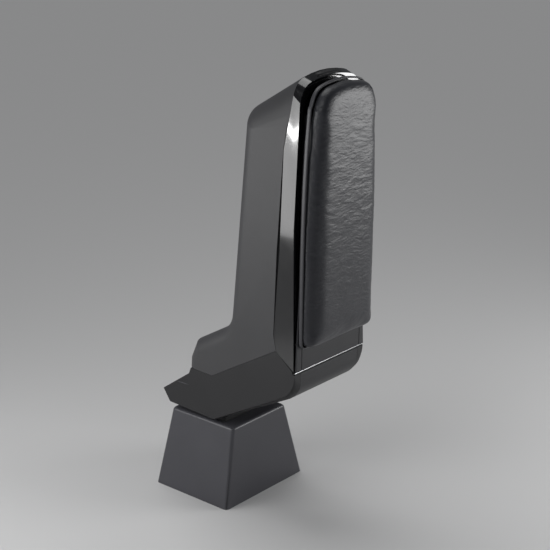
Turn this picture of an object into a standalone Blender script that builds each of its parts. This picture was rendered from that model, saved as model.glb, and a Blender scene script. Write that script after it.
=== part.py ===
"""Centre console armrest, standing upright on its stand, with a hinged padded lid over a storage bin.

Sizes are in millimetres, and MM turns them into metres. X runs across the armrest, +Y towards the
nose of the stand and +Z up. The origin is the middle of the stand's foot. Side outlines are (y, z)
points measured from the seam corner, where lid, frame and stand meet.
"""
import math

import bmesh
import bpy
from mathutils import Matrix, Vector

MM = 0.001

# Driving sizes
HALF_WIDTH = 55.0          # half the width at the lid side, low down
TAPER = 9.0                # the half width draws in by this much at the tip
TAPER_START = 110.0        # height where that begins
SIDE_DRAFT = 0.06          # the sides draw in by this much for each millimetre of depth
GAP = 0.3                  # space between pieces that touch
WALL = 2.5                 # wall of the arm's mouldings
STAND_WALL = 3.0
SEAM_Y = -137.5            # the seam corner lies this far behind the middle of the foot
PEDESTAL_HEIGHT = 85.0
PEDESTAL_TOP_X = 84.0      # size of the pedestal's top, across and along
PEDESTAL_TOP_Y = 88.0
PEDESTAL_FLARE_X = 0.235   # outward lean of the pedestal's walls, across and along
PEDESTAL_FLARE_Y = 0.09
PEDESTAL_CORNER = 4.0      # rounding of the pedestal's upright edges
PEDESTAL_EDGE = 3.0        # rounding of the edge round its top
NECK_HEIGHT = 5.7          # rubber seal between the pedestal and the stand
NECK_INSET = 6.0           # how far the seal stands back from the pedestal's edge
NECK_FRONT = 16.0          # and from its edge on the lid side
STAND_DEPTH = 84.0         # stand's floor below the seam corner
SEAM_Z = PEDESTAL_HEIGHT + GAP + NECK_HEIGHT + GAP + STAND_DEPTH

ARM_HEIGHT = 290.5         # top of the frame above the seam corner
TIP_FALL = 3.6             # the tip slopes down by this much to the lid side
EDGE_ROUND = 14.0          # rounding between the sides and the back of the arm
TIP_CROWN = 130.0          # radius of the tip's arch seen from the front
TIP_ROUND = 15.0           # rounding of the arch's corners
TIP_START = ARM_HEIGHT - 72.0   # height where the arch begins to act
TIP_FULL = ARM_HEIGHT - 18.0    # height where it acts in full

APEX = (25.0, 17.5)        # top of the seam between arm and stand
HEEL = (117.0, -35.4)      # low end of the slanted seam
TOE_END = 156.0            # front end of the arm's toe
NOSE_TIP = (193.0, -71.0)  # front end of the stand
REAR_RADIUS = 32.6         # rounded rear end of the stand, at its sides
BELLY = 4.4                # how far the middle of the stand's underside stands below its side edges
COVER_THICK = 1.9
REAR_START = 9             # where the rounded rear end begins in the stand's outline
BELLY_EDGE = 9.0           # width of the rounding between the two

FOLD_PIN = (156.0, -61.0)  # axis on which the arm folds forward
FOLD_PIN_RADIUS = 4.0
LUG_THICK = 4.0
LUG_REACH = 7.0            # size of the lugs round the pin
BUSH_RADIUS = 5.3
LUG_X = 20.0               # distance of the arm's lugs from the middle
LUG_ROOT = (139.0, 151.0)  # where the lugs leave the toe
LUG_SLOT = 6.5             # width of the slots for the lugs
EAR_THICK = 3.0
EAR_REACH = 6.6            # size of the ears round the pin

FRAME_GAP = 0.6            # shut line between the shell and the gloss frame
FRAME_LIP = 6.0            # width of the gloss frame's rim, seen from the front
LID_ROD = (0.9, 0.0)       # axis of the lid's hinge rod
LID_ROD_RADIUS = 1.1
LID_LEAN = 0.9             # the lid leans back by this many degrees
LID_MARGIN = 1.6           # the panel's sides lie in by this much from the arm's
LID_RECESS = 6.0           # and those of the plate behind the cushion by this much
LINING_THICK = 2.0
LID_SEAT = 1.6             # space between the frame's front edge and the lid plate
CUSHION_HALF = 51.5
CUSHION_BOTTOM = 26.0
CUSHION_TOP = ARM_HEIGHT - 6.0
CUSHION_THICK = 17.5
CUSHION_ROUND = 9.0
CUSHION_CORNER = 6.0       # corners at the foot of the cushion
PANEL_GROOVE_X = 46.0      # grooves that set off the strips beside the rear panels
PANEL_GROOVE = 0.8

BIN_HALF = 43.0
BIN_BOTTOM = 34.0
BIN_TOP = ARM_HEIGHT - 37.0
BIN_WALL = 1.6
BIN_SEAT = 6.0             # the mouth of the frame starts this far below the bin
BIN_BACK_ROOM = 6.0        # space between the bin and the inside of the arm's back
BIN_MOUTH = (5.2, 1.2)     # the bin's front edge, at its foot and its head
MAT_THICK = 2.0
MAT_MARGIN = 6.0           # distance of the mat from the bin's foot and head
BUTTON_HALF = 17.0
BUTTON_DEPTH = 9.0
BUTTON_Y = (3.8, 8.6)      # the button lies between these, in the tip of the frame
BUFFER_RADIUS = 2.0
BUFFER_THICK = 0.4
BUFFER_X = 50.6            # place of the buffers, which rest on the gloss frame
BUFFER_Z = 30.0
FOOT_THICK = 3.0
FOOT_ROOM = 6.0            # space between the foot plate and the pedestal's wall
POST_HALF = 18.0           # half the width of the square steel post
POST_WALL = 2.5
BOLT_RADIUS = 5.0
BOLT_HOLE = 3.4            # radius of the holes under the bolts' heads
BOLT_HEAD = 4.0
BOLT_INSET = 10.0          # distance of the foot bolts from the foot plate's edges
SCREW_RADIUS = 4.2
SCREW_HEAD = 2.4

COLOURS = {
    "matte": ((0.055, 0.055, 0.057), 0.55, 0.0),
    "gloss": ((0.012, 0.012, 0.013), 0.12, 0.0),
    "dark": ((0.03, 0.03, 0.031), 0.5, 0.0),
    "leather": ((0.05, 0.05, 0.055), 0.5, 0.0),
    "steel": ((0.55, 0.56, 0.58), 0.35, 1.0),
    "bright": ((0.8, 0.8, 0.82), 0.15, 1.0),
    "rubber": ((0.02, 0.02, 0.02), 0.8, 0.0),
    "nylon": ((0.7, 0.69, 0.64), 0.5, 0.0),
    "felt": ((0.025, 0.025, 0.027), 0.95, 0.0),
}


def clear_scene():
    for old in list(bpy.data.objects):
        bpy.data.objects.remove(old, do_unlink=True)


clear_scene()
parts = bpy.data.collections.new("center_console_armrest")
cutters = bpy.data.collections.new("cutters")
for group in (parts, cutters):
    bpy.context.scene.collection.children.link(group)
materials = {}


def material(key):
    if key not in materials:
        colour, roughness, metallic = COLOURS[key]
        made = bpy.data.materials.new(key)
        made.use_nodes = True
        shader = made.node_tree.nodes["Principled BSDF"]
        shader.inputs["Base Color"].default_value = (*colour, 1.0)
        shader.inputs["Roughness"].default_value = roughness
        shader.inputs["Metallic"].default_value = metallic
        materials[key] = made
    return materials[key]


# Outline helpers

def rounded(corners, steps=5):
    """Turns (y, z, radius) corners into an outline whose round corners are arcs."""
    outline = []
    count = len(corners)
    for i, (y, z, radius) in enumerate(corners):
        here = Vector((y, z))
        if radius == 0:
            outline.append((y, z))
            continue
        before = (Vector(corners[i - 1][:2]) - here).normalized()
        after = (Vector(corners[(i + 1) % count][:2]) - here).normalized()
        half = before.angle(after) / 2
        centre = here + (before + after).normalized() * (radius / math.sin(half))
        first = here + before * (radius / math.tan(half)) - centre
        last = here + after * (radius / math.tan(half)) - centre
        start = math.atan2(first.y, first.x)
        turn = math.atan2(last.y, last.x) - start
        turn = (turn + math.pi) % (2 * math.pi) - math.pi
        for step in range(steps + 1):
            angle = start + turn * step / steps
            outline.append((centre.x + radius * math.cos(angle), centre.y + radius * math.sin(angle)))
    return outline


def inset(outline, distance_of):
    """Moves each edge of an anticlockwise outline inwards by distance_of(its middle)."""
    moved = []
    count = len(outline)
    for i in range(count):
        a, b = Vector(outline[i]), Vector(outline[(i + 1) % count])
        along = (b - a).normalized()
        inward = Vector((-along.y, along.x))
        moved.append((a + inward * distance_of((a + b) / 2), along))
    result = []
    for i in range(count):
        (p, d), (q, e) = moved[i - 1], moved[i]
        cross = d.x * e.y - d.y * e.x
        if abs(cross) < 0.02:
            result.append(tuple(q))
        else:
            offset = q - p
            result.append(tuple(p + d * ((offset.x * e.y - offset.y * e.x) / cross)))
    return result


def half_width(y, z, less=0.0):
    """Half the arm's width at a place on its side outline."""
    share = max(z - TAPER_START, 0.0) / (ARM_HEIGHT - TAPER_START)
    return HALF_WIDTH - TAPER * share * share - SIDE_DRAFT * max(y, -4.0) - less


def tip_drop(x, z):
    """How far the arched tip lies below its highest point."""
    out = min(max(abs(x) - (HALF_WIDTH - TAPER - TIP_ROUND), 0.0), TIP_ROUND * 0.99)
    corner = TIP_ROUND - math.sqrt(TIP_ROUND ** 2 - out ** 2)
    drop = x * x / (2 * TIP_CROWN) + corner
    share = min(max((z - TIP_START) / (TIP_FULL - TIP_START), 0.0), 1.0)
    return drop * share * share * (3 - 2 * share)


# Object helpers

def place(mesh, name, key, collection=None):
    made = bpy.data.objects.new(name, mesh)
    (collection or parts).objects.link(made)
    if key:
        mesh.materials.append(material(key))
    if collection is cutters:
        made.hide_render = True
        made.display_type = "WIRE"
    return made


def to_mesh(bm, name):
    bmesh.ops.recalc_face_normals(bm, faces=bm.faces)
    mesh = bpy.data.meshes.new(name)
    bm.to_mesh(mesh)
    bm.free()
    mesh.shade_smooth()
    mesh.set_sharp_from_angle(angle=math.radians(32))
    return mesh


def loft(name, rings, key=None, collection=None):
    """Joins rings of (x, y, z) points, all measured from the seam corner, and caps both ends."""
    bm = bmesh.new()
    rows = []
    for ring in rings:
        rows.append([bm.verts.new((x * MM, (SEAM_Y + y) * MM, (SEAM_Z + z) * MM)) for x, y, z in ring])
    count = len(rows[0])
    for low, high in zip(rows, rows[1:]):
        for i in range(count):
            j = (i + 1) % count
            bm.faces.new((low[i], low[j], high[j], high[i]))
    bm.faces.new(rows[0])
    bm.faces.new(rows[-1])
    return place(to_mesh(bm, name), name, key, collection)


def across(outline, less=0.0, stations=(1.0,), drop=True, straight=None):
    """Rings of one side outline at several shares of the half width, following the draft and the tip."""
    rings = []
    for share in sorted({-s for s in stations} | set(stations)):
        ring = []
        for y, z in outline:
            x = share * (straight if straight else half_width(y, z, less))
            ring.append((x, y, z - (tip_drop(x, z) if drop else 0.0)))
        rings.append(ring)
    return rings


def block(name, key, x0, x1, y0, y1, z0, z1, collection=None, bevel=0.0):
    """A box between corners measured from the seam corner."""
    bm = bmesh.new()
    bmesh.ops.create_cube(bm, size=1.0)
    size = Vector((x1 - x0, y1 - y0, z1 - z0)) * MM
    middle = Vector(((x0 + x1) / 2, SEAM_Y + (y0 + y1) / 2, SEAM_Z + (z0 + z1) / 2)) * MM
    bmesh.ops.transform(bm, matrix=Matrix.Translation(middle) @ Matrix.Diagonal((*size, 1.0)), verts=bm.verts)
    if bevel:
        bmesh.ops.bevel(bm, geom=bm.edges[:], offset=bevel * MM, segments=2, affect="EDGES", profile=0.5)
    return place(to_mesh(bm, name), name, key, collection)


def rod(name, key, centre, radius, length, axis="X", sides=20, collection=None, radius_end=None):
    """A cylinder round a centre measured from the seam corner."""
    bm = bmesh.new()
    end = radius if radius_end is None else radius_end
    bmesh.ops.create_cone(bm, cap_ends=True, segments=sides, radius1=radius * MM, radius2=end * MM,
                          depth=length * MM)
    turn = {
        "X": Matrix.Rotation(math.radians(90), 4, "Y"),
        "Y": Matrix.Rotation(math.radians(-90), 4, "X"),
        "Z": Matrix.Identity(4),
    }[axis]
    x, y, z = centre
    where = Matrix.Translation(Vector((x, SEAM_Y + y, SEAM_Z + z)) * MM)
    bmesh.ops.transform(bm, matrix=where @ turn, verts=bm.verts)
    return place(to_mesh(bm, name), name, key, collection)


def boolean(target, tool, operation="DIFFERENCE"):
    """Applies an exact Boolean and keeps the cutter in its own collection."""
    step = target.modifiers.new(operation.lower(), "BOOLEAN")
    step.operation = operation
    step.solver = "EXACT"
    step.object = tool
    bpy.context.view_layer.update()
    evaluated = target.evaluated_get(bpy.context.evaluated_depsgraph_get())
    mesh = bpy.data.meshes.new_from_object(evaluated)
    target.modifiers.clear()
    old = target.data
    target.data = mesh
    bpy.data.meshes.remove(old)
    mesh.set_sharp_from_angle(angle=math.radians(32))


def hang(piece, pivot):
    """Gives a moving piece its origin on its joint's axis."""
    x, y, z = pivot
    point = Vector((x, SEAM_Y + y, SEAM_Z + z)) * MM
    piece.data.transform(Matrix.Translation(-point))
    piece.location = point


# Side outlines, anticlockwise seen from +X, from the seam corner
TOE_SLOPE = (HEEL[1] - APEX[1]) / (HEEL[0] - APEX[0])
FRAME_BACK = [(APEX[0] + 3.0, 33.5), (23.5, 120.0), (17.9, ARM_HEIGHT - 69.0), (15.9, ARM_HEIGHT - 28.0)]
FRAME_BACK_TOP = (10.7, ARM_HEIGHT)
FRAME_FRONT = (2.2, ARM_HEIGHT - TIP_FALL)
BACK_FOOT = (94.0, 25.6)
BACK_HEAD = (74.2, ARM_HEIGHT - 39.0)


TAPER_HEIGHTS = [TAPER_START + (TIP_START - TAPER_START) * share for share in (0.0, 0.4, 0.7, 1.0)]
TIP_STATIONS = (0.12, 0.36, 0.55, 0.66, 0.74, 0.81, 0.87, 0.91, 0.945, 0.97, 0.99, 1.0)


def near_front(point):
    """True on the edges where the arm's shell meets the gloss frame."""
    y, z = point
    return z > APEX[1] and y < APEX[0] + 4.0 and not (z > ARM_HEIGHT - 14.0 and y > FRAME_BACK_TOP[0] + 3.9)


def near_seam(point):
    """True on the edges where the arm meets the stand."""
    y, z = point
    slant = APEX[1] + TOE_SLOPE * (y - APEX[0])
    return z < HEEL[1] + 0.5 or abs(z - slant) < 1.0


def shell_corners():
    corners = [
        (APEX[0], APEX[1] + GAP, 0),
        (HEEL[0], HEEL[1] + GAP, 0),
        (TOE_END, HEEL[1] + GAP, 0),
        (TOE_END - 1.0, -24.0, 3.0),
        (TOE_END - 10.0, -4.5, 3.0),
        (*BACK_FOOT, 26.0),
        (*BACK_HEAD, 20.0),
        (FRAME_BACK_TOP[0] + FRAME_GAP, FRAME_BACK_TOP[1], 0),
    ]
    return corners + [(y + FRAME_GAP, z, 0) for y, z in reversed(FRAME_BACK)]


SHELL = shell_corners()


def shell_ring(depth, front=0.0, seam=0.0):
    """The shell's side outline, moved in by depth at the back, by front at the frame and by seam below."""
    def distance_of(point):
        if near_front(point):
            return front
        return seam if near_seam(point) else depth
    moved = inset([(y, z) for y, z, radius in SHELL], distance_of)
    corners = []
    for (y, z), (old_y, old_z, radius) in zip(moved, SHELL):
        if radius:
            radius = radius + depth if (old_y, old_z) == BACK_FOOT else max(radius - depth, 0.8)
        corners.append((y, z, radius))
    return rounded(corners)


def shell_rings(layers, wall):
    """Rings across the arm from (less, outline) layers: less is how far each lies in from the side."""
    left = []
    for less, outline in layers:
        ring = []
        for y, z in outline:
            x = half_width(y, z, less)
            ring.append((-x, y, z - tip_drop(x + wall, z)))
        left.append(ring)
    middle = []
    less, outline = layers[-1]
    for share in (-0.6, -0.2, 0.2, 0.6):
        ring = []
        for y, z in outline:
            x = share * half_width(y, z, less)
            ring.append((x, y, z - tip_drop(x, z)))
        middle.append(ring)
    right = [[(-x, y, z) for x, y, z in ring] for ring in reversed(left)]
    return left + middle + right


def build_arm_shell():
    """Moulded outer shell of the arm, with its toe, open to the lid side."""
    outer, hollow = [], []
    steps = 9
    for step in range(steps + 1):
        angle = math.pi / 2 * step / steps
        outer.append((EDGE_ROUND * (1 - math.cos(angle)), shell_ring(EDGE_ROUND * (1 - math.sin(angle)))))
        depth = WALL + (EDGE_ROUND - WALL) * (1 - math.sin(angle))
        hollow.append((WALL + (EDGE_ROUND - WALL) * (1 - math.cos(angle)), shell_ring(depth, -20.0, WALL)))
    shell = loft("arm_shell", shell_rings(outer, 0.0), "matte")
    boolean(shell, loft("shell_hollow", shell_rings(hollow, WALL), None, cutters))
    for side in (-1, 1):
        x = side * LUG_X
        slot = block("shell_slot", None, x - LUG_SLOT / 2, x + LUG_SLOT / 2, LUG_ROOT[0] - 2.0, TOE_END - 3.5,
                     HEEL[1] - 2.0, HEEL[1] + WALL + 1.0, cutters)
        boolean(shell, slot)
    hang(shell, (0.0, *FOLD_PIN))


def build_frame():
    """Gloss frame round the mouth of the bin."""
    outline = [(LID_ROD[0] + 0.6, LID_ROD_RADIUS + GAP + 0.4), (APEX[0] - GAP, APEX[1] - 0.2)]
    outline += FRAME_BACK
    outline += [FRAME_BACK_TOP, FRAME_FRONT]
    outline += [(FRAME_FRONT[0], 0.5 * ARM_HEIGHT)]
    frame = loft("gloss_frame", across(outline, 0.0, TIP_STATIONS), "gloss")
    mouth = []
    top = ARM_HEIGHT - FRAME_LIP - TIP_FALL - 1.4
    for share in sorted({-s for s in TIP_STATIONS} | set(TIP_STATIONS)):
        ring = []
        for y, z in ((-30.0, BIN_BOTTOM - BIN_SEAT), (60.0, BIN_BOTTOM - BIN_SEAT), (60.0, TIP_START), (60.0, top),
                     (-30.0, top), (-30.0, TIP_START)):
            x = share * half_width(0.0, z, FRAME_LIP)
            ring.append((x, y, z - tip_drop(x + math.copysign(FRAME_LIP * abs(share), x), z)))
        mouth.append(ring)
    boolean(frame, loft("mouth", mouth, None, cutters))
    y0, y1 = BUTTON_Y
    slot = block("button_slot", None, -BUTTON_HALF - GAP, BUTTON_HALF + GAP, y0 - GAP, y1 + GAP,
                 ARM_HEIGHT - 22.0, ARM_HEIGHT + 10.0, cutters)
    boolean(frame, slot)
    hang(frame, (0.0, *FOLD_PIN))


def build_button():
    """Release button in the tip of the frame, its top flush with the slope."""
    y0, y1 = BUTTON_Y
    low = ARM_HEIGHT - BUTTON_DEPTH
    profile = [(y0, low), (y1, low), (y1, ARM_HEIGHT - 0.2), (y0, ARM_HEIGHT - 2.2)]
    button = loft("latch_button", across(profile, 0.0, (0.25, 0.6, 1.0), True, BUTTON_HALF), "dark")
    hang(button, (0.0, (y0 + y1) / 2, ARM_HEIGHT))


def build_bin():
    """Storage bin, open to the lid, with a foot that rests on the frame, and the mat on its back wall."""
    fall = (BACK_HEAD[0] - BACK_FOOT[0]) / (BACK_HEAD[1] - BACK_FOOT[1])
    deep_low = BACK_FOOT[0] + fall * (BIN_BOTTOM - BACK_FOOT[1]) - WALL - BIN_BACK_ROOM
    deep_high = BACK_FOOT[0] + fall * (BIN_TOP - BACK_FOOT[1]) - WALL - BIN_BACK_ROOM - EDGE_ROUND
    less = HALF_WIDTH - BIN_HALF
    outer = [(BIN_MOUTH[0], BIN_BOTTOM), (deep_low, BIN_BOTTOM), (deep_high, BIN_TOP), (BIN_MOUTH[1], BIN_TOP)]
    tray = loft("storage_bin", across(outer, less, (1.0,), False), "felt")
    past = [(BIN_MOUTH[0] - 30.0, BIN_BOTTOM), outer[1], outer[2], (BIN_MOUTH[1] - 30.0, BIN_TOP)]
    inside = inset(past, lambda p: BIN_WALL)
    boolean(tray, loft("bin_hollow", across(inside, less + BIN_WALL, (1.0,), False), None, cutters))
    mouth_low = BIN_BOTTOM - BIN_SEAT
    foot = block("bin_foot", None, -BIN_HALF, BIN_HALF, BIN_MOUTH[0], BIN_MOUTH[0] + BIN_SEAT / 2,
                 mouth_low + GAP, BIN_BOTTOM + BIN_WALL / 2, cutters)
    boolean(tray, foot, "UNION")
    hang(tray, (0.0, *FOLD_PIN))
    lean = (deep_high - deep_low) / (BIN_TOP - BIN_BOTTOM)
    z0, z1 = BIN_BOTTOM + MAT_MARGIN, BIN_TOP - MAT_MARGIN
    y0 = deep_low + lean * MAT_MARGIN - BIN_WALL - GAP - 0.1
    y1 = deep_high - lean * MAT_MARGIN - BIN_WALL - GAP - 0.1
    profile = [(y0 - MAT_THICK, z0), (y0, z0), (y1, z1), (y1 - MAT_THICK, z1)]
    mat = loft("bin_mat", across(profile, less + BIN_WALL + 2.0, (1.0,), False), "rubber")
    hang(mat, (0.0, *FOLD_PIN))


# Stand

def stand_outline(belly):
    """Side outline of the stand, with its underside lowered by belly."""
    share = belly / BELLY
    rear = []
    for step in range(9):
        angle = math.radians(180 + 59.2 * step / 8)
        y = REAR_RADIUS + REAR_RADIUS * math.cos(angle)
        z = REAR_RADIUS * math.sin(angle)
        grow = min(step / 4, 1.0) * belly
        out = Vector((math.cos(angle), math.sin(angle)))
        rear.append((max(y + out.x * grow * 0.75, 0.0), z + out.y * grow - LID_ROD_RADIUS - GAP))
    floor = -STAND_DEPTH
    foot_y = NOSE_TIP[0] - 81.0
    corners = [(foot_y + 4.0 * (1 - share), floor), (NOSE_TIP[0] - 10.0, floor), NOSE_TIP,
               (TOE_END - 4.0, HEEL[1] - 7.0), (TOE_END - 7.0, HEEL[1]), HEEL, APEX,
               (LID_ROD[0] + LID_ROD_RADIUS + 1.2, 1.6), (LID_ROD[0] + LID_ROD_RADIUS + 0.5, -LID_ROD_RADIUS - GAP)]
    return corners + rear


def build_stand():
    """Stand housing, hollow, with its open side under the arm's seam."""
    rings = []
    for less, belly in ((0.0, 0.0), (1.2, BELLY * 0.35), (3.6, BELLY * 0.68), (BELLY_EDGE, BELLY)):
        rings.append((less, stand_outline(belly)))
    left = [[(-half_width(y, z, less), y, z) for y, z in o] for less, o in rings]
    right = [[(-x, y, z) for x, y, z in ring] for ring in reversed(left)]
    stand = loft("stand_housing", left + right, "dark")
    hollow = inset(stand_outline(0.0), lambda p: STAND_WALL)
    core = loft("stand_hollow", across(hollow, STAND_WALL, (1.0,), False), None, cutters)
    boolean(stand, core)
    mouth = block("stand_mouth", None, -LUG_X - 12.0, LUG_X + 12.0, HEEL[0] + 4.0, TOE_END - 11.0,
                  HEEL[1] - 9.0, HEEL[1] + 8.0, cutters)
    boolean(stand, mouth)
    for side in (-1, 1):
        x = side * LUG_X
        slot = block("stand_slot", None, x - LUG_SLOT / 2, x + LUG_SLOT / 2, LUG_ROOT[0] - 4.0, NOSE_TIP[0] - 9.0,
                     FOLD_PIN[1] - 6.0, HEEL[1] + 8.0, cutters)
        boolean(stand, slot)
    recess = rear_cover_rings(0.0, PANEL_GROOVE_X, 8.0)
    boolean(stand, loft("cover_recess", recess, None, cutters))
    return stand


def rear_cover_rings(clear, half, out):
    """Rings of the rear cover, a curved plate let into the rounded end, smaller all round by clear."""
    arc = [Vector(p) for p in stand_outline(BELLY)[REAR_START:]]
    arc[0] += (arc[1] - arc[0]).normalized() * clear
    arc[-1] += (arc[-2] - arc[-1]).normalized() * clear
    outer, inner = [], []
    for i, point in enumerate(arc):
        along = (arc[min(i + 1, len(arc) - 1)] - arc[max(i - 1, 0)]).normalized()
        inward = Vector((-along.y, along.x))
        outer.append(tuple(point - inward * out))
        inner.append(tuple(point + inward * (COVER_THICK - clear)))
    ring = outer + list(reversed(inner))
    return [[(s * (half - clear), y, z) for y, z in ring] for s in (-1.0, 1.0)]


def build_rear_cover():
    return loft("rear_cover", rear_cover_rings(GAP, PANEL_GROOVE_X, 0.0), "dark")


def build_pedestal():
    """Tapered pedestal cover, the seal above it, the steel post inside it and its foot plate."""
    top = -STAND_DEPTH - GAP - NECK_HEIGHT - GAP
    low = top - PEDESTAL_HEIGHT
    middle = -SEAM_Y

    def frustum(name, key, layers, collection=None):
        rings = []
        for z, less in layers:
            x = PEDESTAL_TOP_X / 2 + PEDESTAL_FLARE_X * (top - z) - less
            y = PEDESTAL_TOP_Y / 2 + PEDESTAL_FLARE_Y * (top - z) - less
            r = PEDESTAL_CORNER
            outline = rounded([(-x, -y, r), (x, -y, r), (x, y, r), (-x, y, r)], 4)
            rings.append([(px, middle + py, z) for px, py in outline])
        return loft(name, rings, key, collection)

    layers = [(low, 0.0)]
    for step in range(5):
        angle = math.pi / 2 * step / 4
        layers.append((top - PEDESTAL_EDGE * (1 - math.sin(angle)), PEDESTAL_EDGE * (1 - math.cos(angle))))
    cover = frustum("pedestal_cover", "dark", layers)
    hollow = [(low - 20.0, WALL), (top - PEDESTAL_EDGE - WALL, WALL), (top - WALL, PEDESTAL_EDGE + WALL)]
    boolean(cover, frustum("pedestal_hollow", None, hollow, cutters))
    seal_x = PEDESTAL_TOP_X / 2 - NECK_INSET
    seal_y = PEDESTAL_TOP_Y / 2
    block("neck_seal", "rubber", -seal_x, seal_x, middle - seal_y + NECK_FRONT, middle + seal_y - NECK_INSET,
          top + GAP, top + GAP + NECK_HEIGHT, bevel=0.8)
    px = PEDESTAL_TOP_X / 2 + PEDESTAL_FLARE_X * PEDESTAL_HEIGHT - WALL - FOOT_ROOM
    py = PEDESTAL_TOP_Y / 2 + PEDESTAL_FLARE_Y * PEDESTAL_HEIGHT - WALL - FOOT_ROOM
    foot = block("foot_plate", "steel", -px, px, middle - py, middle + py, low, low + FOOT_THICK)
    half = POST_HALF
    post_top = top - WALL - GAP
    post = block("steel_post", "steel", -half, half, middle - half, middle + half, low + FOOT_THICK + GAP, post_top)
    bore = block("post_bore", None, -half + POST_WALL, half - POST_WALL, middle - half + POST_WALL,
                 middle + half - POST_WALL, low - 5.0, post_top - 4.0, cutters)
    boolean(post, bore)
    for name, sx, sy in (("foot_bolt_1", -1, -1), ("foot_bolt_2", 1, -1), ("foot_bolt_3", -1, 1),
                         ("foot_bolt_4", 1, 1)):
        x, y = sx * (px - BOLT_INSET), middle + sy * (py - BOLT_INSET)
        boolean(foot, rod("foot_hole", None, (x, y, low), BOLT_HOLE, 4 * FOOT_THICK, "Z", 16, cutters))
        rod(name, "steel", (x, y, low + FOOT_THICK + GAP + BOLT_HEAD / 2), BOLT_RADIUS, BOLT_HEAD, "Z", 6)


def build_fold_hinge():
    """Steel bracket with two ears on the stand's floor, the fold pin, its bushes and the arm's lugs."""
    y, z = FOLD_PIN
    floor = -STAND_DEPTH + STAND_WALL + GAP
    plate_top = floor + EAR_THICK
    ear_x = LUG_X + LUG_THICK / 2 + GAP + 1.0
    bracket = block("fold_bracket", "steel", -ear_x - EAR_THICK, ear_x + EAR_THICK, y - 30.0, y + 12.0,
                    floor, plate_top)
    for low in (ear_x, -ear_x - EAR_THICK):
        ear = block("ear", None, low, low + EAR_THICK, y - EAR_REACH, y + EAR_REACH, plate_top - 0.5,
                    z + EAR_REACH, cutters)
        boolean(bracket, ear, "UNION")
    boolean(bracket, rod("pin_hole", None, (0.0, y, z), BUSH_RADIUS + GAP / 2, 90.0, "X", 20, cutters))
    pin_half = ear_x + EAR_THICK + 4.0
    rod("fold_pin", "steel", (0.0, y, z), FOLD_PIN_RADIUS, 2 * pin_half, "X", 24)
    for name, side in (("left_bush", -1), ("right_bush", 1)):
        x = side * (ear_x + EAR_THICK / 2)
        bush = rod(name, "nylon", (x, y, z), BUSH_RADIUS - GAP / 2, EAR_THICK, "X", 20)
        boolean(bush, rod("bush_bore", None, (x, y, z), FOLD_PIN_RADIUS + GAP, 20.0, "X", 20, cutters))
    lug_top = HEEL[1] + GAP + WALL + GAP
    plate = block("arm_lugs", "steel", -LUG_X - 8.0, LUG_X + 8.0, HEEL[0] + 10.0, TOE_END - 6.0,
                  lug_top, lug_top + 3.0)
    for side in (-1, 1):
        x = side * LUG_X
        outline = rounded([(LUG_ROOT[0], lug_top + 1.0, 0), (LUG_ROOT[0], HEEL[1] - 2.0, 0),
                           (y - LUG_REACH, z - LUG_REACH, 5.0), (y + LUG_REACH, z - LUG_REACH, 5.0),
                           (y + LUG_REACH * 0.7, z + LUG_REACH, 4.0), (LUG_ROOT[1], HEEL[1] - 2.0, 0),
                           (LUG_ROOT[1], lug_top + 1.0, 0)])
        rings = [[(x + s * LUG_THICK / 2, py, pz) for py, pz in outline] for s in (-1.0, 1.0)]
        boolean(plate, loft("lug", rings, None, cutters), "UNION")
    boolean(plate, rod("lug_hole", None, (0.0, y, z), FOLD_PIN_RADIUS + GAP, 90.0, "X", 24, cutters))
    hang(plate, (0.0, y, z))
    for name, side in (("left_screw", -1), ("right_screw", 1)):
        where = (side * 14.0, y - 21.0, plate_top + GAP + SCREW_HEAD / 2)
        rod(name, "steel", where, SCREW_RADIUS, SCREW_HEAD, "Z", 12)


# Lid, built upright from the seam corner and then leaned back on the hinge rod

def lean_lid(piece):
    pivot = Vector((0.0, SEAM_Y + LID_ROD[0], SEAM_Z + LID_ROD[1])) * MM
    turn = Matrix.Rotation(math.radians(LID_LEAN), 4, "X")
    piece.data.transform(Matrix.Translation(pivot) @ turn @ Matrix.Translation(-pivot))
    hang(piece, (0.0, *LID_ROD))


def lid_rings(less, low, high, y_back, y_front, foot_less=None):
    """Rings of a flat plate that follows the arm's front outline, less in from its sides.

    Below the cushion it lies in by foot_less, where that is given."""
    step = [] if foot_less is None else [CUSHION_BOTTOM - 0.5, CUSHION_BOTTOM]
    heights = [low] + step + TAPER_HEIGHTS + [high]
    outline = [(y_back, z) for z in heights] + [(y_front, z) for z in reversed(heights)]
    rings = []
    for share in sorted({-s for s in TIP_STATIONS} | set(TIP_STATIONS)):
        ring = []
        for y, z in outline:
            margin = less if foot_less is None or z >= CUSHION_BOTTOM else foot_less
            x = share * half_width(0.0, z, margin)
            ring.append((x, y, z - tip_drop(x + share * margin, z)))
        rings.append(ring)
    return rings


def build_lid():
    """Backing plate of the lid, with the grooved panel that shows below the cushion."""
    front = -LID_SEAT
    back = LID_ROD[0] + 0.2
    rings = lid_rings(LID_RECESS, LID_ROD_RADIUS + GAP, ARM_HEIGHT - 9.0, back, front, LID_MARGIN)
    plate = loft("lid_plate", rings, "dark")
    for side in (-1, 1):
        x = side * PANEL_GROOVE_X
        groove = block("panel_groove", None, x - PANEL_GROOVE / 2, x + PANEL_GROOVE / 2, front - 2.0,
                       front + 0.7, -5.0, CUSHION_BOTTOM - 1.0, cutters)
        boolean(plate, groove)
    lean_lid(plate)


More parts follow.
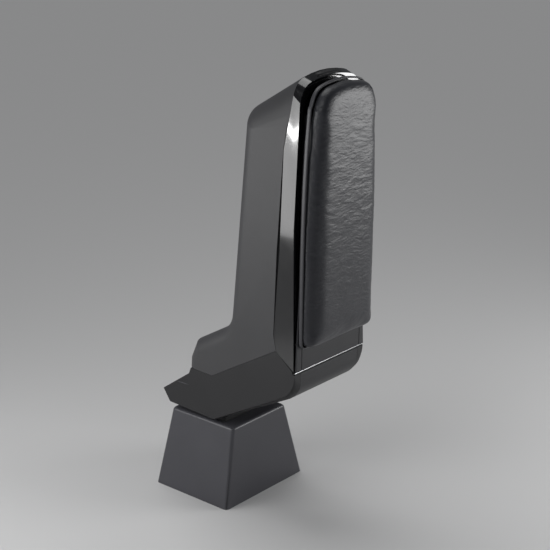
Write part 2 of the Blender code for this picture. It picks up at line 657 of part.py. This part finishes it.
def pad_outline(less):
    """The cushion's outline seen from the front, less in from its edge."""
    inward = HALF_WIDTH - CUSHION_HALF + less
    foot = half_width(0.0, CUSHION_BOTTOM, inward)
    low = CUSHION_BOTTOM + less
    side = [(half_width(0.0, z, inward), z) for z in TAPER_HEIGHTS]
    head = half_width(0.0, CUSHION_TOP - TIP_ROUND, inward)
    tip = []
    for share in sorted({-s for s in TIP_STATIONS} | set(TIP_STATIONS), reverse=True):
        x = share * head
        tip.append((x, CUSHION_TOP - less - tip_drop(x + share * inward, ARM_HEIGHT)))
    corners = [(-foot, low, CUSHION_CORNER), (foot, low, CUSHION_CORNER)]
    corners += [(x, z, 0) for x, z in side + tip]
    corners += [(-x, z, 0) for x, z in reversed(side)]
    return rounded(corners, 4)


def build_cushion():
    """Padded cushion: a rounded pad on the lid plate."""
    front = -LID_SEAT - GAP
    steps = 4
    layers = [(front, 1.2), (front - 2.0, 0.0)]
    for step in range(steps + 1):
        angle = math.pi / 2 * step / steps
        y = front - CUSHION_THICK + CUSHION_ROUND * (1 - math.sin(angle))
        layers.append((y, CUSHION_ROUND * (1 - math.cos(angle))))
    rings = [[(x, y, z) for x, z in pad_outline(less)] for y, less in layers]
    lean_lid(loft("cushion", rings, "leather"))


def build_lid_inner():
    """Lining panel on the inside of the lid, its catch hook and its two buffers."""
    face = LID_ROD[0] + 0.2 + GAP
    less = HALF_WIDTH - BIN_HALF - 1.0
    lining = lid_rings(less, CUSHION_BOTTOM + 12.0, ARM_HEIGHT - 26.0, face + LINING_THICK, face)
    lean_lid(loft("lid_inner_panel", lining, "felt"))
    lean_lid(block("lid_hook", "steel", -6.0, 6.0, face, face + 6.0, ARM_HEIGHT - 24.5, ARM_HEIGHT - 21.0,
                   bevel=0.5))
    for name, side in (("left_lid_buffer", -1), ("right_lid_buffer", 1)):
        centre = (side * BUFFER_X, face + BUFFER_THICK / 2, BUFFER_Z)
        lean_lid(rod(name, "rubber", centre, BUFFER_RADIUS, BUFFER_THICK, "Y", 12))


def build_hinge_rod():
    hinge = rod("lid_hinge_rod", "bright", (0.0, *LID_ROD), LID_ROD_RADIUS, 2 * (HALF_WIDTH - 1.0), "X", 16)
    hang(hinge, (0.0, *FOLD_PIN))


build_arm_shell()
build_frame()
build_button()
build_bin()
build_stand()
build_rear_cover()
build_pedestal()
build_fold_hinge()
build_lid()
build_cushion()
build_lid_inner()
build_hinge_rod()
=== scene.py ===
import math

import bmesh
import bpy
import numpy as np
from mathutils import Matrix, Vector, noise


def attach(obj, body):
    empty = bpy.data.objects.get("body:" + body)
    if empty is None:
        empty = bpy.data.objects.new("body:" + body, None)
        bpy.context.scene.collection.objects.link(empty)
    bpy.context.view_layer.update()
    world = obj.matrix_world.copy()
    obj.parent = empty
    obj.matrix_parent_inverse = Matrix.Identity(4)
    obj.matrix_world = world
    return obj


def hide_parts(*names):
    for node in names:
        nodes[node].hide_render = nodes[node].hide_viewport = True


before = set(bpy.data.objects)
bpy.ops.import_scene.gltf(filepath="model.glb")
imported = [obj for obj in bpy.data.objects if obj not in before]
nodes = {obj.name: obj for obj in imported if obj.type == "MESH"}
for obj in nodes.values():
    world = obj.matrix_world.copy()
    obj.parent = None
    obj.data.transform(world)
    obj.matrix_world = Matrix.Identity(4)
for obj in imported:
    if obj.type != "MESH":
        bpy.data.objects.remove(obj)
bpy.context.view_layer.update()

MM = 0.001

# Camera and studio
# The photograph was taken from the lid side, a little above, with a long lens. A soft panel and a tube
# on the left draw the streak on the gloss frame, one panel lights the lid, and a wide key and a soft
# sun fill the rest. The floor is pale and matt, and the world behind it is plain grey to the camera.
SEAM = Vector((0.0, -137.5, 175.3)) * MM      # middle of the seam, from which the photograph was measured
CAMERA_AZIMUTH = math.radians(-49.5)
CAMERA_ELEVATION = math.radians(18.6)
CAMERA_FROM_SEAM = Vector((-1032.0, -809.6, 529.3)) * MM
FOCAL_PIXELS = 1408.0
IMAGE_PIXELS = 550.0
SENSOR_MM = 36.0
FLOOR_GREY = "cacaca"
FLOOR_HALF = 12.0
BACKDROP_GREY = "9c9c9c"
SKY_GREY = "9a9ca0"
SKY_LEVEL = 0.24


def linear(code):
    """sRGB hex value to a linear colour with full alpha."""
    parts = [int(code[i:i + 2], 16) / 255 for i in (0, 2, 4)]
    return tuple(c / 12.92 if c <= 0.04045 else ((c + 0.055) / 1.055) ** 2.4 for c in parts) + (1.0,)


camera = bpy.data.objects.new("camera", bpy.data.cameras.new("camera"))
bpy.context.scene.collection.objects.link(camera)
camera.data.sensor_width = SENSOR_MM
camera.data.lens = FOCAL_PIXELS * SENSOR_MM / IMAGE_PIXELS
camera.data.clip_start, camera.data.clip_end = 0.05, 50.0
camera.location = SEAM + CAMERA_FROM_SEAM
towards_camera = Vector((math.sin(CAMERA_AZIMUTH) * math.cos(CAMERA_ELEVATION),
                         -math.cos(CAMERA_AZIMUTH) * math.cos(CAMERA_ELEVATION),
                         math.sin(CAMERA_ELEVATION)))
camera.rotation_mode = "QUATERNION"
camera.rotation_quaternion = (-towards_camera).to_track_quat("-Z", "Y")
bpy.context.scene.camera = camera
bpy.context.scene.view_settings.view_transform = "Standard"


def add(tree, kind, settings=None, **links):
    """Adds one node with its settings; a link names an input and gives the output that feeds it."""
    made = tree.nodes.new(kind)
    for name, value in (settings or {}).items():
        if hasattr(made, name):
            setattr(made, name, value)
        else:
            made.inputs[name].default_value = value
    for name, source in links.items():
        numbered = name[0] == "i" and name[1:].isdigit()
        tree.links.new(source, made.inputs[int(name[1:]) if numbered else name])
    return made


def surface(name):
    """An empty node material with its output, ready for a shader."""
    made = bpy.data.materials.new(name)
    made.use_nodes = True
    made.node_tree.nodes.clear()
    out = add(made.node_tree, "ShaderNodeOutputMaterial")
    return made, made.node_tree, out


floor_paint, tree, out = surface("studio_floor")
matte = add(tree, "ShaderNodeBsdfDiffuse", {"Color": linear(FLOOR_GREY)})
tree.links.new(matte.outputs[0], out.inputs["Surface"])
bm = bmesh.new()
bmesh.ops.create_grid(bm, x_segments=1, y_segments=1, size=FLOOR_HALF)
floor_mesh = bpy.data.meshes.new("floor")
bm.to_mesh(floor_mesh)
bm.free()
floor = bpy.data.objects.new("floor", floor_mesh)
bpy.context.scene.collection.objects.link(floor)
floor.data.materials.append(floor_paint)

world = bpy.data.worlds.new("studio")
bpy.context.scene.world = world
world.use_nodes = True
tree = world.node_tree
tree.nodes.clear()
seen = add(tree, "ShaderNodeLightPath")
sky = add(tree, "ShaderNodeBackground", {"Color": linear(SKY_GREY), "Strength": SKY_LEVEL})
plain = add(tree, "ShaderNodeBackground", {"Color": linear(BACKDROP_GREY), "Strength": 1.0})
pick = add(tree, "ShaderNodeMixShader", None, Fac=seen.outputs["Is Camera Ray"],
           i1=sky.outputs[0], i2=plain.outputs[0])
add(tree, "ShaderNodeOutputWorld", None, Surface=pick.outputs[0])


def softbox(name, size, place, aim, watts):
    """A rectangular area light at place, turned towards aim."""
    lamp = bpy.data.lights.new(name, "AREA")
    lamp.shape = "RECTANGLE"
    lamp.size, lamp.size_y = size
    lamp.energy = watts
    made = bpy.data.objects.new(name, lamp)
    bpy.context.scene.collection.objects.link(made)
    made.location = place
    made.rotation_mode = "QUATERNION"
    made.rotation_quaternion = (Vector(aim) - Vector(place)).to_track_quat("-Z", "Y")


ARM_MIDDLE = (0.0, -0.12, 0.32)
STREAK_LOW = 0.15             # foot of the left panel, which ends the streak on the gloss frame
STREAK_HEIGHT = 0.34
STREAK_WIDTH = 0.42
STREAK_MIDDLE = STREAK_LOW + STREAK_HEIGHT / 2
STREAK_HEAD = 0.335           # height of the bright tube, which makes the spot at the streak's head
softbox("left_panel", (STREAK_WIDTH, STREAK_HEIGHT), (-0.52, 0.26, STREAK_MIDDLE),
        (-0.05, -0.14, STREAK_MIDDLE), 1.2)
softbox("streak_tube", (STREAK_WIDTH, 0.02), (-0.5, 0.24, STREAK_HEAD), (-0.05, -0.14, STREAK_HEAD), 0.5)
softbox("lid_panel", (0.5, 0.34), (0.62, -0.7, 0.36), (0.0, -0.16, 0.4), 4.0)
softbox("left_key", (0.8, 0.8), (-1.3, -0.2, 1.2), ARM_MIDDLE, 4.0)
daylight = bpy.data.objects.new("daylight", bpy.data.lights.new("daylight", "SUN"))
daylight.data.energy = 1.15
daylight.data.angle = math.radians(50.0)
daylight.rotation_euler = (math.radians(-22.0), math.radians(8.0), 0.0)
bpy.context.scene.collection.objects.link(daylight)

# Grained mouldings
# The arm's shell, the stand, its rear cover, the lid plate and the pedestal are injection-moulded
# ABS with a fine spark-eroded grain, which spreads highlights into a soft grey sheen.
ABS_IOR = 1.52
CLOUD_MM = 45.45              # patches where the tone drifts as the melt has flowed
SPECK_MM = 0.714              # specks of duller gloss, drawn coarser than the real grit
GRAIN_DEPTH = 0.2 * MM
EDGE_ANGLE = math.radians(32.0)
WELD_REACH = 0.01 * MM


def per_metre(millimetres):
    """Pattern scale that repeats about once in the given length."""
    return 1000.0 / millimetres


def two_tones(tree, code, low, high, mask):
    """One colour made darker and lighter by the given shares, mixed by a mask."""
    made = add(tree, "ShaderNodeMix", {"data_type": "RGBA"}, Factor=mask)
    for socket, share in (("A", low), ("B", high)):
        made.inputs[socket].default_value = tuple(c * share for c in linear(code)[:3]) + (1.0,)
    return made.outputs["Result"]


def grained_plastic(name, tone, rough, grain_mm, depth):
    """Moulded ABS: dark, satin, with a fine pebble grain and slight unevenness of gloss."""
    made, tree, out = surface(name)
    where = add(tree, "ShaderNodeTexCoord")
    fine = add(tree, "ShaderNodeTexVoronoi", {"Scale": per_metre(grain_mm)}, Vector=where.outputs["Object"])
    clouds = add(tree, "ShaderNodeTexNoise", {"Scale": per_metre(CLOUD_MM), "Detail": 4.0},
                 Vector=where.outputs["Object"])
    speck = add(tree, "ShaderNodeTexNoise", {"Scale": per_metre(SPECK_MM), "Detail": 2.0},
                Vector=where.outputs["Object"])
    tint = two_tones(tree, tone, 0.86, 1.16, clouds.outputs["Fac"])
    uneven = add(tree, "ShaderNodeMapRange", {"To Min": rough - 0.05, "To Max": rough + 0.07},
                 Value=speck.outputs["Fac"])
    bump = add(tree, "ShaderNodeBump", {"Strength": depth, "Distance": GRAIN_DEPTH},
               Height=fine.outputs["Distance"])
    shader = add(tree, "ShaderNodeBsdfPrincipled", {"IOR": ABS_IOR}, Roughness=uneven.outputs["Result"],
                 Normal=bump.outputs["Normal"])
    tree.links.new(tint, shader.inputs["Base Color"])
    tree.links.new(shader.outputs[0], out.inputs["Surface"])
    return made


def dress(name, finish, edge_mm):
    """Gives a CAD node its finish, soft moulded edges and even shading. Its own mesh stays as it is."""
    piece = nodes[name]
    piece.data.materials.clear()
    piece.data.materials.append(finish)
    piece.data.shade_smooth()
    weld = piece.modifiers.new("weld", "WELD")
    weld.merge_threshold = WELD_REACH
    if edge_mm:
        bevel = piece.modifiers.new("edge", "BEVEL")
        bevel.width = edge_mm * MM
        bevel.segments = 3
        bevel.limit_method = "ANGLE"
        bevel.angle_limit = EDGE_ANGLE
        bevel.use_clamp_overlap = True
    even = piece.modifiers.new("even", "WEIGHTED_NORMAL")
    even.keep_sharp = True


shell_abs = grained_plastic("arm_abs", "3f3f41", 0.5, 0.8, 0.35)
stand_abs = grained_plastic("stand_abs", "1f1f21", 0.5, 0.8, 0.3)
panel_abs = grained_plastic("panel_abs", "29292c", 0.42, 0.8, 0.25)
pedestal_abs = grained_plastic("pedestal_abs", "48484d", 0.36, 0.7, 0.15)
dress("arm_shell", shell_abs, 0.7)
dress("stand_housing", stand_abs, 0.8)
dress("rear_cover", panel_abs, 0.3)
dress("lid_plate", panel_abs, 0.3)
dress("pedestal_cover", pedestal_abs, 0.0)
dress("latch_button", stand_abs, 0.0)

# Gloss frame
# The rim round the bin is ABS lacquered piano black. It mirrors the studio in long clean streaks,
# broken only by the faint haze of handling.
HAZE_MM = 16.667
lacquer, tree, out = surface("piano_black")
where = add(tree, "ShaderNodeTexCoord")
haze = add(tree, "ShaderNodeTexNoise", {"Scale": per_metre(HAZE_MM), "Detail": 5.0},
           Vector=where.outputs["Object"])
smear = add(tree, "ShaderNodeMapRange", {"From Min": 0.35, "From Max": 0.7, "To Min": 0.1, "To Max": 0.17},
            Value=haze.outputs["Fac"])
shader = add(tree, "ShaderNodeBsdfPrincipled",
             {"Base Color": linear("141416"), "IOR": 1.5, "Coat Weight": 1.0, "Coat Roughness": 0.06},
             Roughness=smear.outputs["Result"])
tree.links.new(shader.outputs[0], out.inputs["Surface"])
dress("gloss_frame", lacquer, 0.5)

# Cushion
# A foam pad under stretched synthetic leather. The foam pushes the cover out into a soft crown, its
# edge turns over in a firm roll, and short wavy creases run across it.
VOXEL = 3.0 * MM
PAD_SHRINK = 1.0 * MM         # the pad starts this much smaller, because pressure swells it
PAD_SWELL = 1.8 * MM          # most that any point may move
PAD_FRAMES = 20
PAD_PRESSURE = 4.0
PAD_SEAT = 3.5 * MM           # this much of the pad, next to the lid plate, is held by it
FOAM_STIFFNESS = 40.0
WAVE_HEIGHT = 0.22 * MM
WAVE_ACROSS = 0.05            # waves per millimetre across the pad, and along it below
WAVE_ALONG = 0.17
WAVE_BEND_MM = 8.0
WARP_MM = 26.32               # length over which the creases wander
WARP_REACH = 12.0 * MM
CREASE_MM = 2.5               # width of a crease; they run across, so they are stretched that way
CREASE_STRETCH = (0.3, 0.6, 1.0)
CREASE_DEPTH = 0.38 * MM
PORE_MM = 1.111               # real pores are a fifth of this, too fine to show
PORE_DEPTH = 0.25 * MM
WEAR_MM = 71.43               # patches of duller leather


def bake_modifiers(piece):
    """Turns the piece's modifiers into its mesh."""
    evaluated = piece.evaluated_get(bpy.context.evaluated_depsgraph_get())
    baked = bpy.data.meshes.new_from_object(evaluated)
    piece.modifiers.clear()
    piece.data = baked


def even_copy(source, name, voxel):
    """A copy of a CAD solid in world space with an even mesh of small quads."""
    made = bpy.data.objects.new(name, source.data.copy())
    made.data.transform(source.matrix_world)
    bpy.context.scene.collection.objects.link(made)
    remesh = made.modifiers.new("even", "REMESH")
    remesh.mode = "VOXEL"
    remesh.voxel_size = voxel
    bake_modifiers(made)
    return made


def soften(piece, rounds, factor):
    """Evens the piece out by averaging neighbouring vertices."""
    smooth = piece.modifiers.new("smooth", "SMOOTH")
    smooth.iterations = rounds
    smooth.factor = factor


def inflate(piece, held, pressure, frames, cap):
    """Swells the piece as cloth under pressure, with its held vertices still and each move capped."""
    before = np.empty(len(piece.data.vertices) * 3)
    piece.data.vertices.foreach_get("co", before)
    group = piece.vertex_groups.new(name="held")
    group.add(held, 1.0, "REPLACE")
    cloth = piece.modifiers.new("cloth", "CLOTH")
    cloth.settings.vertex_group_mass = "held"
    cloth.settings.use_pressure = True
    cloth.settings.uniform_pressure_force = pressure
    cloth.settings.effector_weights.gravity = 0.0
    cloth.settings.tension_stiffness = FOAM_STIFFNESS
    cloth.settings.compression_stiffness = FOAM_STIFFNESS
    cloth.point_cache.frame_start, cloth.point_cache.frame_end = 1, frames
    for step in range(1, frames + 1):
        bpy.context.scene.frame_set(step)
    bake_modifiers(piece)
    after = np.empty_like(before)
    piece.data.vertices.foreach_get("co", after)
    move = (after - before).reshape(-1, 3)
    length = np.linalg.norm(move, axis=1, keepdims=True)
    move *= np.minimum(1.0, cap / np.maximum(length, 1e-9))
    piece.data.vertices.foreach_set("co", before + move.ravel())
    piece.data.update()
    bpy.context.scene.frame_set(1)
    piece.vertex_groups.clear()


pad = even_copy(nodes["cushion"], "leather_pad", VOXEL)
pad_back = max(v.co.y for v in pad.data.vertices)
soften(pad, 4, 0.4)
bake_modifiers(pad)
seat_line = pad_back - PAD_SEAT
starts = [v.co - v.normal * (PAD_SHRINK if v.co.y < seat_line else 0.0) for v in pad.data.vertices]
for vertex, start in zip(pad.data.vertices, starts):
    vertex.co = start
seated = [v.index for v in pad.data.vertices if v.co.y > seat_line]
inflate(pad, seated, PAD_PRESSURE, PAD_FRAMES, PAD_SWELL)
soften(pad, 14, 0.5)
finer = pad.modifiers.new("finer", "SUBSURF")
finer.levels = finer.render_levels = 1
bake_modifiers(pad)
for vertex in pad.data.vertices:
    place = vertex.co / MM
    bend = noise.noise(place * WAVE_ACROSS) * WAVE_BEND_MM
    across = (place.x * WAVE_ACROSS, place.y * WAVE_ACROSS)
    wave = noise.noise(Vector((*across, (place.z + bend) * WAVE_ALONG)))
    vertex.co += vertex.normal * wave * WAVE_HEIGHT
pad.data.shade_smooth()

leather, tree, out = surface("leather_cover")
where = add(tree, "ShaderNodeTexCoord")
warp = add(tree, "ShaderNodeTexNoise", {"Scale": per_metre(WARP_MM), "Detail": 2.0},
           Vector=where.outputs["Object"])
centred = add(tree, "ShaderNodeVectorMath", {"operation": "SUBTRACT"}, i0=warp.outputs["Color"])
centred.inputs[1].default_value = (0.5, 0.5, 0.5)
bent = add(tree, "ShaderNodeVectorMath", {"operation": "SCALE", "Scale": WARP_REACH},
           i0=centred.outputs["Vector"])
moved = add(tree, "ShaderNodeVectorMath", {"operation": "ADD"},
            i0=where.outputs["Object"], i1=bent.outputs["Vector"])
drawn = add(tree, "ShaderNodeMapping", {"Scale": CREASE_STRETCH}, Vector=moved.outputs["Vector"])
creases = add(tree, "ShaderNodeTexNoise", {"Scale": per_metre(CREASE_MM), "Detail": 1.5, "Roughness": 0.4},
              Vector=drawn.outputs["Vector"])
pores = add(tree, "ShaderNodeTexVoronoi", {"Scale": per_metre(PORE_MM)}, Vector=where.outputs["Object"])
wear = add(tree, "ShaderNodeTexNoise", {"Scale": per_metre(WEAR_MM), "Detail": 3.0},
           Vector=where.outputs["Object"])
folds = add(tree, "ShaderNodeMapRange", {"From Min": 0.25, "From Max": 0.75}, Value=creases.outputs["Fac"])
# The crease hollows are painted a shade darker than the raised folds, as painted shade in the creases.
colour = add(tree, "ShaderNodeMix", {"data_type": "RGBA"}, Factor=folds.outputs["Result"])
colour.inputs["A"].default_value = linear("26272c")
colour.inputs["B"].default_value = linear("2a2b31")
gloss = add(tree, "ShaderNodeMapRange", {"To Min": 0.36, "To Max": 0.46}, Value=wear.outputs["Fac"])
relief = add(tree, "ShaderNodeBump", {"Strength": 0.5, "Distance": CREASE_DEPTH},
             Height=folds.outputs["Result"])
grain = add(tree, "ShaderNodeBump", {"Strength": 0.2, "Distance": PORE_DEPTH},
            Height=pores.outputs["Distance"], Normal=relief.outputs["Normal"])
shader = add(tree, "ShaderNodeBsdfPrincipled", {"IOR": 1.5, "Sheen Weight": 0.12, "Sheen Roughness": 0.4},
             Roughness=gloss.outputs["Result"], Normal=grain.outputs["Normal"])
tree.links.new(colour.outputs["Result"], shader.inputs["Base Color"])
tree.links.new(shader.outputs[0], out.inputs["Surface"])
pad.data.materials.clear()
pad.data.materials.append(leather)
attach(pad, "lid")
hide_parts("cushion")

# Cushion tray
# The leather is tucked into a moulded ABS tray. Its edge shows as a slim satin band behind the pad.
LID_LEAN = math.radians(0.9)
LID_AXIS = SEAM + Vector((0.0, 0.9, 0.0)) * MM
TRAY_PROFILE = ((-1.2, 0.3), (0.5, 0.2), (0.8, -0.8), (0.8, -3.4), (0.3, -4.3), (-1.2, -4.4))
LEVEL_REACH_MM = 0.11         # points this close to a level of the pad belong to its outline there


def widest_loop(piece):
    """Outline of a pad where it is widest, upright and measured from the lid's axis, with its depth."""
    upright = Matrix.Rotation(-LID_LEAN, 4, "X")
    points = [upright @ (piece.matrix_world @ v.co - LID_AXIS) for v in piece.data.vertices]
    level = sorted({round(p.y / MM, 1) for p in points}, reverse=True)[1]
    level_points = [p for p in points if abs(p.y / MM - level) < LEVEL_REACH_MM]
    ring = {(round(p.x / MM, 2), round(p.z / MM, 2)) for p in level_points}
    middle = (sum(z for x, z in ring)) / len(ring)
    return sorted(ring, key=lambda q: math.atan2(q[1] - middle, q[0])), max(p.y / MM for p in points)


loop, back = widest_loop(nodes["cushion"])
bm = bmesh.new()
rows = []
for i, (x, z) in enumerate(loop):
    (x0, z0), (x1, z1) = loop[i - 1], loop[(i + 1) % len(loop)]
    away = Vector((z1 - z0, x0 - x1)).normalized()
    rows.append([bm.verts.new((x + away.x * step, back + y, z + away.y * step)) for step, y in TRAY_PROFILE])
for i, row in enumerate(rows):
    ahead = rows[(i + 1) % len(rows)]
    for j in range(len(row)):
        k = (j + 1) % len(row)
        bm.faces.new((row[j], ahead[j], ahead[k], row[k]))
bmesh.ops.recalc_face_normals(bm, faces=bm.faces)
lean_back = Matrix.Translation(LID_AXIS) @ Matrix.Rotation(LID_LEAN, 4, "X") @ Matrix.Scale(MM, 4)
bmesh.ops.transform(bm, matrix=lean_back, verts=bm.verts)
tray_mesh = bpy.data.meshes.new("cushion_tray")
bm.to_mesh(tray_mesh)
bm.free()
tray_mesh.shade_smooth()
tray = bpy.data.objects.new("cushion_tray", tray_mesh)
bpy.context.scene.collection.objects.link(tray)
rounder = tray.modifiers.new("rounder", "SUBSURF")
rounder.levels = rounder.render_levels = 2
tray.data.materials.append(grained_plastic("tray_abs", "3e3e42", 0.4, 0.8, 0.2))
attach(tray, "lid")

# Nose highlight ridges
# A short thin ridge stands on each side of the nose along its top edge, coloured as a painted highlight
# line.
RIDGE = ((-45.9, 153.0, -55.6), (-45.5, 159.0, -56.0), (-45.1, 165.0, -56.4), (-44.8, 171.0, -56.8))
RIDGE_RADIUS = 0.55 * MM
RIDGE_FADE = (0.3, 1.0, 1.0, 0.3)             # share of the radius at each point
for name, side in (("left_highlight_ridge", 1), ("right_highlight_ridge", -1)):
    line = bpy.data.curves.new(name, "CURVE")
    line.dimensions = "3D"
    line.bevel_depth = RIDGE_RADIUS
    line.bevel_resolution = 3
    spline = line.splines.new("NURBS")
    spline.points.add(len(RIDGE) - 1)
    spline.use_endpoint_u = True
    for point, (x, y, z), thick in zip(spline.points, RIDGE, RIDGE_FADE):
        point.co = (*(SEAM + Vector((side * x, y, z)) * MM), 1.0)
        point.radius = thick
    ridge = bpy.data.objects.new(name, line)
    bpy.context.scene.collection.objects.link(ridge)
    # The lighter pedestal ABS on the dark stand paints the ridge as a highlight line along the nose.
    line.materials.append(pedestal_abs)
    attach(ridge, "stand")

# Bin and lid lining
# The bin is moulded with a flocked mat in its foot and a flocked panel inside the lid, so that
# things laid in it do not rattle.
FIBRE_MM = 0.385              # real fibres are finer, and wouldn't show
NAP_MM = 22.22                # patches where the pile lies another way
PILE_DEPTH = 0.4 * MM


def flock(name, tone):
    """Flocked lining: short fibres that catch light at a shallow angle."""
    made, tree, out = surface(name)
    where = add(tree, "ShaderNodeTexCoord")
    fibre = add(tree, "ShaderNodeTexNoise", {"Scale": per_metre(FIBRE_MM), "Detail": 3.0},
                Vector=where.outputs["Object"])
    lie = add(tree, "ShaderNodeTexNoise", {"Scale": per_metre(NAP_MM), "Detail": 3.0},
              Vector=where.outputs["Object"])
    tint = two_tones(tree, tone, 0.75, 1.3, lie.outputs["Fac"])
    bump = add(tree, "ShaderNodeBump", {"Strength": 0.6, "Distance": PILE_DEPTH},
               Height=fibre.outputs["Fac"])
    shader = add(tree, "ShaderNodeBsdfPrincipled", {"Roughness": 0.95, "Sheen Weight": 0.5},
                 Normal=bump.outputs["Normal"])
    tree.links.new(tint, shader.inputs["Base Color"])
    tree.links.new(shader.outputs[0], out.inputs["Surface"])
    return made


lining = flock("flock_lining", "26262a")
dress("storage_bin", stand_abs, 0.0)
dress("bin_mat", lining, 0.0)
dress("lid_inner_panel", lining, 0.0)

# Metalwork and small parts
# The lid turns on a ground steel rod. The fold bracket, post, foot plate and bolts are zinc-plated
# steel, the bushes are nylon, and the neck seal and the lid's two buffers are rubber.
LINE_MM = 8.333               # drawn lines before they are stretched along the piece
LINE_STRETCH = (1.0, 14.0, 14.0)
DULL_MM = 25.0
LINE_DEPTH = 0.1 * MM


def plated(name, tone, rough, brushing, metal=1.0):
    """Worked metal or hard polymer with fine drawn lines and patches of duller surface."""
    made, tree, out = surface(name)
    where = add(tree, "ShaderNodeTexCoord")
    along = add(tree, "ShaderNodeMapping", {"Scale": LINE_STRETCH}, Vector=where.outputs["Object"])
    lines = add(tree, "ShaderNodeTexNoise", {"Scale": per_metre(LINE_MM), "Detail": 4.0},
                Vector=along.outputs["Vector"])
    dull = add(tree, "ShaderNodeTexNoise", {"Scale": per_metre(DULL_MM), "Detail": 3.0},
               Vector=where.outputs["Object"])
    uneven = add(tree, "ShaderNodeMapRange", {"To Min": rough - 0.06, "To Max": rough + 0.1},
                 Value=dull.outputs["Fac"])
    bump = add(tree, "ShaderNodeBump", {"Strength": brushing, "Distance": LINE_DEPTH},
               Height=lines.outputs["Fac"])
    shader = add(tree, "ShaderNodeBsdfPrincipled", {"Base Color": linear(tone), "Metallic": metal},
                 Roughness=uneven.outputs["Result"], Normal=bump.outputs["Normal"])
    tree.links.new(shader.outputs[0], out.inputs["Surface"])
    return made


zinc = plated("zinc_plated_steel", "a3a39c", 0.38, 0.3)
ground_steel = plated("ground_steel", "a4a5a7", 0.28, 0.15)
nylon = plated("turned_nylon", "b9b7ae", 0.45, 0.1, metal=0.0)
rubber = plated("moulded_rubber", "1c1c1d", 0.75, 0.2, metal=0.0)
dress("lid_hinge_rod", ground_steel, 0.0)
for name in ("steel_post", "foot_plate", "fold_bracket", "arm_lugs", "fold_pin", "lid_hook",
             "left_screw", "right_screw", "foot_bolt_1", "foot_bolt_2", "foot_bolt_3", "foot_bolt_4"):
    dress(name, zinc, 0.0)
dress("neck_seal", rubber, 0.0)
for name in ("left_bush", "right_bush"):
    dress(name, nylon, 0.0)
for name in ("left_lid_buffer", "right_lid_buffer"):
    dress(name, rubber, 0.0)
